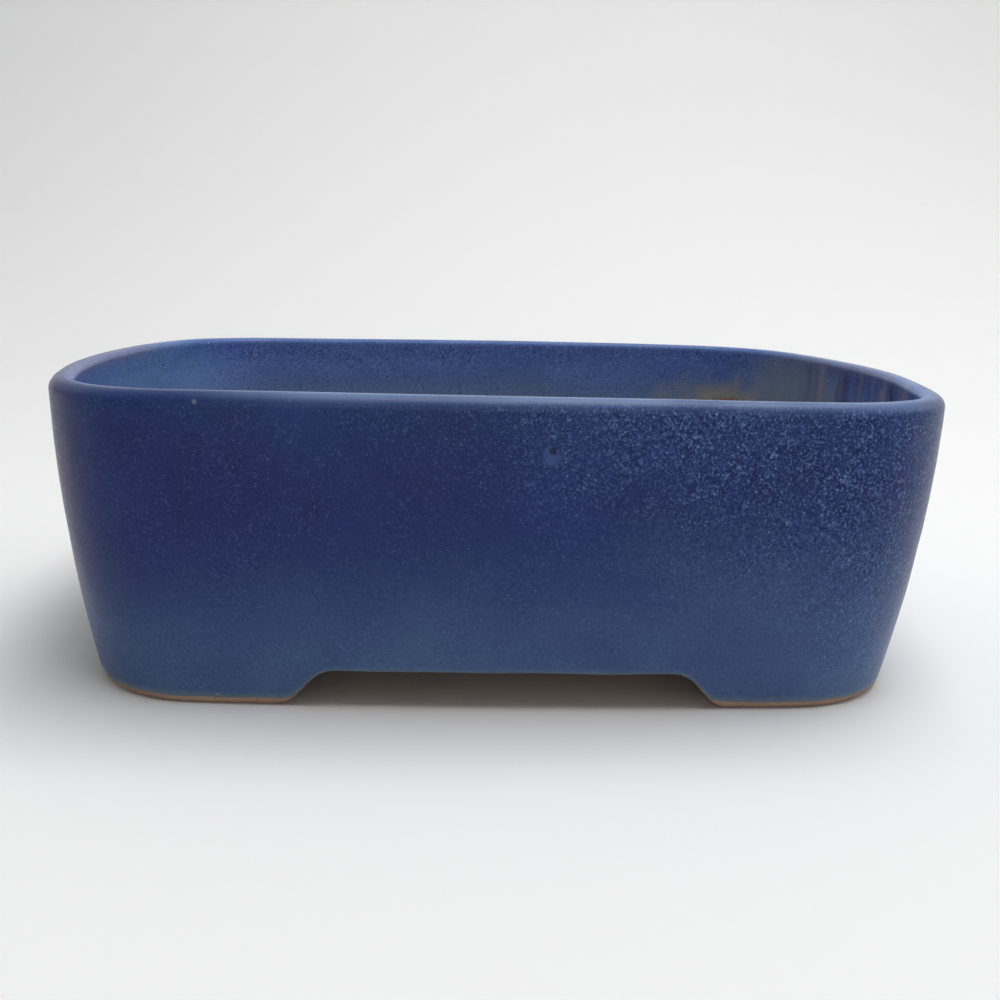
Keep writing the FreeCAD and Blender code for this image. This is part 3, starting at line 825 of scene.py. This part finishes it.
# ---- clay -------------------------------------------------------------------------------------

def clay_outside(z):
    return outer_face(z, GLAZE)


def make_wall(node, columns):
    """One slab of the wall: its outside and top lie under glaze, its lower inside is bare."""
    up = np.linspace(FLOOR_TOP - 0.3, HEIGHT - LIP_OUTER, 9)
    bare = np.linspace(GLAZE_END + 9, FLOOR_TOP - 0.3, 40)
    hidden = np.linspace(HEIGHT - LIP_INNER, GLAZE_END + 9, 5)[:-1]
    inside = inner_face(np.concatenate([hidden, bare]), GLAZE)
    rho = np.concatenate([clay_outside(up), [LIP_OUT, LIP_IN], inside])
    z = np.concatenate([up, [HEIGHT - GLAZE] * 2, hidden, bare])
    rho = np.repeat(rho[:, None], len(columns), axis=1)
    z = np.repeat(z[:, None], len(columns), axis=1)
    seen = len(bare)

    def detail(points):
        amount = np.zeros(points.shape[:2])
        inside = points[-seen:]
        ridges = smooth_noise(inside * [0.25, 0.25, 1], 5.0, 41) * 0.06
        amount[-seen:] = ridges + smooth_noise(inside, 3.0, 42) * 0.03
        return shift_outward(points, columns, amount)

    sweep(f"{node}_clay", columns, rho, z, CLAY, [node], move=detail)


def make_coil():
    """The coil smoothed into the corner of wall and floor, by thumb, so its face is uneven."""
    turn = np.linspace(0, math.pi / 2, 14)[:, None]
    size = COIL * (1 + 0.12 * smooth_noise(PLACES, 14.0, 51))[None]
    foot = inner_face(FLOOR_TOP, GLAZE)
    lean = (inner_face(COIL_TOP, GLAZE) - foot) / COIL
    rho = foot - size * (1 - np.cos(turn)) + lean * size * (1 - np.sin(turn))
    z = FLOOR_TOP + size * (1 - np.sin(turn))
    sunk_rho = np.array([foot - COIL * 0.6, foot + 0.8, foot + 1.6])[:, None]
    sunk_z = np.array([FLOOR_TOP - 0.6, FLOOR_TOP - 0.6, COIL_TOP - 0.5])[:, None]
    rho = np.vstack([rho, np.repeat(sunk_rho, COLUMNS, axis=1)])
    z = np.vstack([z, np.repeat(sunk_z, COLUMNS, axis=1)])
    sweep("floor_joint_coil_clay", ALL_COLUMNS, rho, z, CLAY, ["floor_joint_coil"], True)


def foot_section(columns):
    """A foot's section at its columns: out and down, under, up its inside and flaring into the floor."""
    edge = LOWER_EDGE[columns][None]
    top = FLOOR_BOTTOM + 0.3
    room = np.clip((FLOOR_BOTTOM - edge) / FLOOR_BOTTOM, 0.02, 1)
    outer_round = np.minimum(CLAY_ROUND[columns][None], room * FLOOR_BOTTOM * 0.9)
    inner_round = 1.6 * room
    flare = 1.8 * room
    taper = 1.2 * room
    lean = np.arcsin((CURVE_HEIGHT - edge - outer_round) / OUTER_CURVE)
    wall_end = edge + outer_round * (1 - np.sin(lean))
    z_out = top + (wall_end - top) * np.linspace(0, 1, 5)[:-1, None]
    turn = lean + (math.pi / 2 - lean) * np.linspace(0, 1, 9)[:, None]
    rho_turn = clay_outside(wall_end) + outer_round * (np.cos(turn) - np.cos(lean))
    z_turn = wall_end - outer_round * (np.sin(turn) - np.sin(lean))
    inside = clay_outside(FLOOR_BOTTOM) - FOOT_WIDTH
    quarter = np.linspace(0, math.pi / 2, 7)[:, None]
    rho_in = inside + taper + inner_round * (1 - np.sin(quarter))
    z_in = edge + inner_round * (1 - np.cos(quarter))
    rho_flat = rho_turn[-1:] + (rho_in[:1] - rho_turn[-1:]) * np.linspace(0, 1, 12)[1:-1, None]
    z_flat = np.repeat(edge, len(rho_flat), axis=0)
    rho_flare = inside - flare * (1 - np.cos(quarter))
    z_flare = FLOOR_BOTTOM - flare * (1 - np.sin(quarter))
    rho_top = inside - flare
    rho = np.vstack([clay_outside(z_out), rho_turn, rho_flat, rho_in, rho_flare, rho_top])
    z = np.vstack([z_out, z_turn, z_flat, z_in, z_flare, np.full_like(rho_top, top)])
    return rho, z


def make_foot(node, columns):
    """A foot along its columns; its underside rises with the arch at both ends until it is gone."""
    def detail(points):
        lift = smooth_noise(points, 5.0, 61) * 0.05 * smoothstep(0.3, 1.5, points[..., 2])
        moved = points.copy()
        moved[..., 2] += lift * (1 - smoothstep(FLOOR_BOTTOM - 2, FLOOR_BOTTOM, points[..., 2]))
        return shift_outward(moved, columns, lift)

    rho, z = foot_section(columns)
    sweep(f"{node}_clay", columns, rho, z, CLAY, [node], move=detail)


def circle(x, y, radius, count):
    angles = np.linspace(0, 2 * math.pi, count, endpoint=False)
    return np.stack([x + radius * np.cos(angles), y + radius * np.sin(angles)], axis=1)


def floor_inner_points(edge, holes):
    """Grid points on the floor, clear of its holes and of its rounded rim."""
    clearance = 1.2
    across = np.arange(-72, 73, FLOOR_GRID)
    along = np.arange(-54, 55, FLOOR_GRID)
    reach = np.abs(edge).max(axis=0)
    inner = []
    for point in np.stack(np.meshgrid(across, along), axis=-1).reshape(-1, 2):
        clear = min(np.hypot(point[0] - x, point[1] - y) - radius for x, y, radius, _ in holes)
        gaps = np.hypot(*(edge - point).T)
        inside = np.hypot(*point) < np.hypot(*edge[np.argmin(gaps)])
        if clear > FLOOR_EDGE_ROUND + clearance and gaps.min() > clearance and inside:
            if np.abs(point / reach).max() < 1:
                inner.append(point)
    return np.array(inner)


def floor_plate(loops, holes, inner):
    """Corners and faces of the flat plate between the rim's loop and the loops of its holes."""
    edges = []
    start = 0
    for loop in loops:
        count = len(loop)
        edges += [(start + k, start + (k + 1) % count) for k in range(count)]
        start += count
    flat = np.vstack(loops + [inner])
    result = delaunay_2d_cdt([Vector(p) for p in flat], edges, [], 0, 1e-6)
    corners = np.array([tuple(v) for v in result[0]])
    within = FLOOR_EDGE_ROUND - 0.05
    faces = []
    for face in result[2]:
        middle = corners[list(face)].mean(axis=0)
        in_hole = any(np.hypot(*(middle - [x, y])) < radius + within for x, y, radius, _ in holes)
        if not in_hole and point_inside(middle, loops[0]):
            faces.append(tuple(face))
    return corners, faces


def rounded_rings(loop, away, top, bottom):
    """Rings of points from the top face round a loop's edge to the bottom face."""
    turns = np.linspace(0, math.pi / 2, 5)[1:]
    sides = []
    for face_points, sign in ((top, -1), (bottom, 1)):
        side = []
        for turn in turns:
            z = face_points[:, 2] + sign * FLOOR_EDGE_ROUND * (1 - math.cos(turn))
            out = FLOOR_EDGE_ROUND * math.sin(turn)
            side.append(np.column_stack([loop + away * out, z]))
        sides.append(side)
    return sides[0] + sides[1][::-1]


def ring_faces(rows, turned):
    """Faces between closed rows of point numbers, turned over for a hole."""
    faces = []
    size = len(rows[0])
    for upper, lower in zip(rows[:-1], rows[1:]):
        for k in range(size):
            k2 = (k + 1) % size
            quad = (upper[k], lower[k], lower[k2], upper[k2])
            faces.append(quad[::-1] if turned else quad)
    return faces


def make_floor():
    """The floor slab: a flat plate whose holes and lower edge are softened, with faint tool marks."""
    rim = ALL_COLUMNS[::FLOOR_COLUMNS_STEP]
    holes = [(x, y, radius, 64 if radius > 3 else 32) for x, y, radius in DRAINS + TIES]
    loops = [PLACES[rim] + NORMALS[rim] * (clay_outside(FLOOR_BOTTOM) - FLOOR_EDGE_ROUND)]
    loops += [circle(x, y, radius + FLOOR_EDGE_ROUND, count) for x, y, radius, count in holes]
    outward = [NORMALS[rim]]
    for loop, (x, y, radius, _) in zip(loops[1:], holes):
        outward.append(-(loop - [x, y]) / (radius + FLOOR_EDGE_ROUND))
    corners, faces = floor_plate(loops, holes, floor_inner_points(loops[0], holes))
    count = len(corners)
    top = np.column_stack([corners, np.full(count, FLOOR_TOP)])
    bottom = np.column_stack([corners, np.full(count, FLOOR_BOTTOM)])
    top[:, 2] += smooth_noise(top[:, :2], 11.0, 71) * 0.08 + smooth_noise(top[:, :2], 3.5, 72) * 0.03
    bottom[:, 2] += smooth_noise(bottom[:, :2], 13.0, 73) * 0.07 - 0.05
    points = [top, bottom]
    all_faces = faces + [tuple(k + count for k in reversed(face)) for face in faces]
    total = 2 * count
    first = 0
    for number, (loop, away) in enumerate(zip(loops, outward)):
        size = len(loop)
        indices = np.arange(first, first + size)
        rings = rounded_rings(loop, away, top[indices], bottom[indices])
        between = [total + k * size + np.arange(size) for k in range(len(rings))]
        all_faces += ring_faces([indices] + between + [indices + count], number > 0)
        points += rings
        first += size
        total += size * len(rings)
    points = warp(np.vstack(points))
    all_faces = outward_faces(points, [tuple(int(k) for k in f) for f in all_faces])
    new_piece("floor_slab_clay", points, all_faces, CLAY, ["floor_slab"])


def point_inside(point, polygon):
    a = polygon
    b = np.roll(polygon, -1, axis=0)
    crosses = (a[:, 1] > point[1]) != (b[:, 1] > point[1])
    where = a[:, 0] + (point[1] - a[:, 1]) * (b[:, 0] - a[:, 0]) / (b[:, 1] - a[:, 1] + 1e-12)
    return bool(np.sum(crosses & (point[0] < where)) % 2)


def column_runs():
    """The columns of each wall slab and each foot, in order round the outline."""
    x, y = PLACES.T
    straight = np.abs(x) < CORNER[0] + CORNER_RADIUS * math.sin(SIDE_BOW)
    front = ALL_COLUMNS[straight & (y < 0)]
    back = ALL_COLUMNS[straight & (y > 0)]
    left = np.arange(back[-1], front[0] + 1)
    right = np.arange(front[-1], back[0] + COLUMNS + 1) % COLUMNS
    walls = {"front_wall": front, "back_wall": back, "left_end_wall": left, "right_end_wall": right}
    feet = {}
    gone = LOWER_EDGE > FLOOR_BOTTOM - 0.35
    for east, end in ((-1, "left"), (1, "right")):
        for north, side in ((-1, "front"), (1, "back")):
            here = (x * east > 0) & (y * north > 0) & ~gone
            columns = ALL_COLUMNS[here]
            breaks = np.where(np.diff(columns) > 1)[0]
            if len(breaks):
                columns = np.concatenate([columns[breaks[0] + 1:], columns[:breaks[0] + 1]])
            feet[f"foot_{side}_{end}"] = columns
    return walls, feet


def make_clay():
    walls, feet = column_runs()
    for node, columns in walls.items():
        make_wall(node, columns)
    make_floor()
    make_coil()
    for node, columns in feet.items():
        make_foot(node, columns)


# ---- floor, light and camera ------------------------------------------------------------------

def paper_material():
    """Matt pale paper with painted light: it glows faintly far from the pot, in place of the light a lit
    room would throw on it.
    """
    n = Nodes("paper")
    n.shader.inputs["Base Color"].default_value = PAPER
    n.shader.inputs["Roughness"].default_value = 0.9
    n.shader.inputs["Specular IOR Level"].default_value = 0.1
    n.shader.inputs["Emission Color"].default_value = (1.0, 1.0, 1.0, 1.0)
    away = n.add("ShaderNodeVectorMath", {0: n.place}, output=1, operation="LENGTH")
    # painted light: the paper glows more the farther it is from the pot
    n.feed(n.shader.inputs["Emission Strength"], n.ramp(away, 1000.0, 3400.0, 0.0, 0.42))
    return n.material


def make_stage():
    """A sheet of pale paper that sweeps up in a wide curve behind the pot."""
    front = -6.0
    side = 6.0
    top = 3.0
    start = 0.16
    bend = 0.9
    angles = np.linspace(0, math.radians(85), 48)
    profile = [(front, 0.0)] + [(start + bend * math.sin(a), bend * (1 - math.cos(a))) for a in angles]
    profile.append((start + bend + 0.2, top))
    points = [(x, y, z) for y, z in profile for x in (-side, side)]
    faces = [(2 * k, 2 * k + 1, 2 * k + 3, 2 * k + 2) for k in range(len(profile) - 1)]
    mesh = bpy.data.meshes.new("backdrop")
    mesh.from_pydata(points, [], faces)
    mesh.materials.append(paper_material())
    mesh.shade_smooth()
    backdrop = bpy.data.objects.new("backdrop", mesh)
    bpy.context.collection.objects.link(backdrop)


def area_light(name, place, target, size, power):
    lamp = bpy.data.lights.new(name, "AREA")
    lamp.shape = "RECTANGLE"
    lamp.size, lamp.size_y = size
    lamp.energy = power
    light = bpy.data.objects.new(name, lamp)
    light.location = place
    light.rotation_euler = (Vector(target) - Vector(place)).to_track_quat("-Z", "Y").to_euler()
    bpy.context.collection.objects.link(light)


def make_lights():
    """A soft overhead light, weaker ones from the right, the front and on the paper, and a pale room."""
    world = bpy.data.worlds.new("room")
    world.use_nodes = True
    tree = world.node_tree
    sky = tree.nodes["Background"]
    sky.inputs["Color"].default_value = (1.0, 1.0, 1.0, 1.0)
    seen = tree.nodes.new("ShaderNodeMapRange")
    as_light = 0.23
    as_background = 0.76
    seen.inputs["To Min"].default_value = as_light
    seen.inputs["To Max"].default_value = as_background
    tree.links.new(tree.nodes.new("ShaderNodeLightPath").outputs["Is Camera Ray"], seen.inputs["Value"])
    tree.links.new(seen.outputs[0], sky.inputs["Strength"])
    bpy.context.scene.world = world
    # name, place, what it points at, size and power
    area_light("overhead", (0.15, -0.06, 0.93), (0.0, 0.0, 0.0), (0.8, 0.5), 6.5)
    area_light("from_right", (1.0, 0.1, 0.5), (0.0, 0.1, 0.0), (0.6, 0.6), 1.6)
    area_light("from_front", (0.1, -1.2, 0.09), (0.0, 0.0, 0.0), (1.2, 0.14), 1.9)
    area_light("on_paper", (0.1, 0.35, 1.2), (0.0, 1.1, 0.35), (1.4, 0.5), 1.7)


def make_camera():
    """The camera looks slightly down at the front, a little from the left, with a slight roll."""
    sensor = 36.0
    lens_to_sensor = 1.13019
    distance = 0.23156
    azimuth = math.radians(-2.201)
    elevation = math.radians(12.151)
    roll = math.radians(1.375)
    target = Vector((0.0016778, 0.0, 0.0232208))
    back = Vector((
        math.sin(azimuth) * math.cos(elevation),
        -math.cos(azimuth) * math.cos(elevation),
        math.sin(elevation),
    ))
    right = (-back).cross(Vector((0, 0, 1))).normalized()
    up = right.cross(-back)
    tilted_right = right * math.cos(roll) + up * math.sin(roll)
    tilted_up = up * math.cos(roll) - right * math.sin(roll)
    data = bpy.data.cameras.new("camera")
    data.sensor_width = sensor
    data.lens = sensor * lens_to_sensor
    data.clip_start = 0.01
    camera = bpy.data.objects.new("camera", data)
    turned = Matrix((tilted_right, tilted_up, back)).transposed().to_4x4()
    camera.matrix_world = Matrix.Translation(target + back * distance) @ turned
    bpy.context.collection.objects.link(camera)
    bpy.context.scene.camera = camera


make_outer_glaze()
make_inner_glaze()
make_clay()
make_stage()
make_lights()
make_camera()
bpy.context.scene.view_settings.view_transform = "Standard"
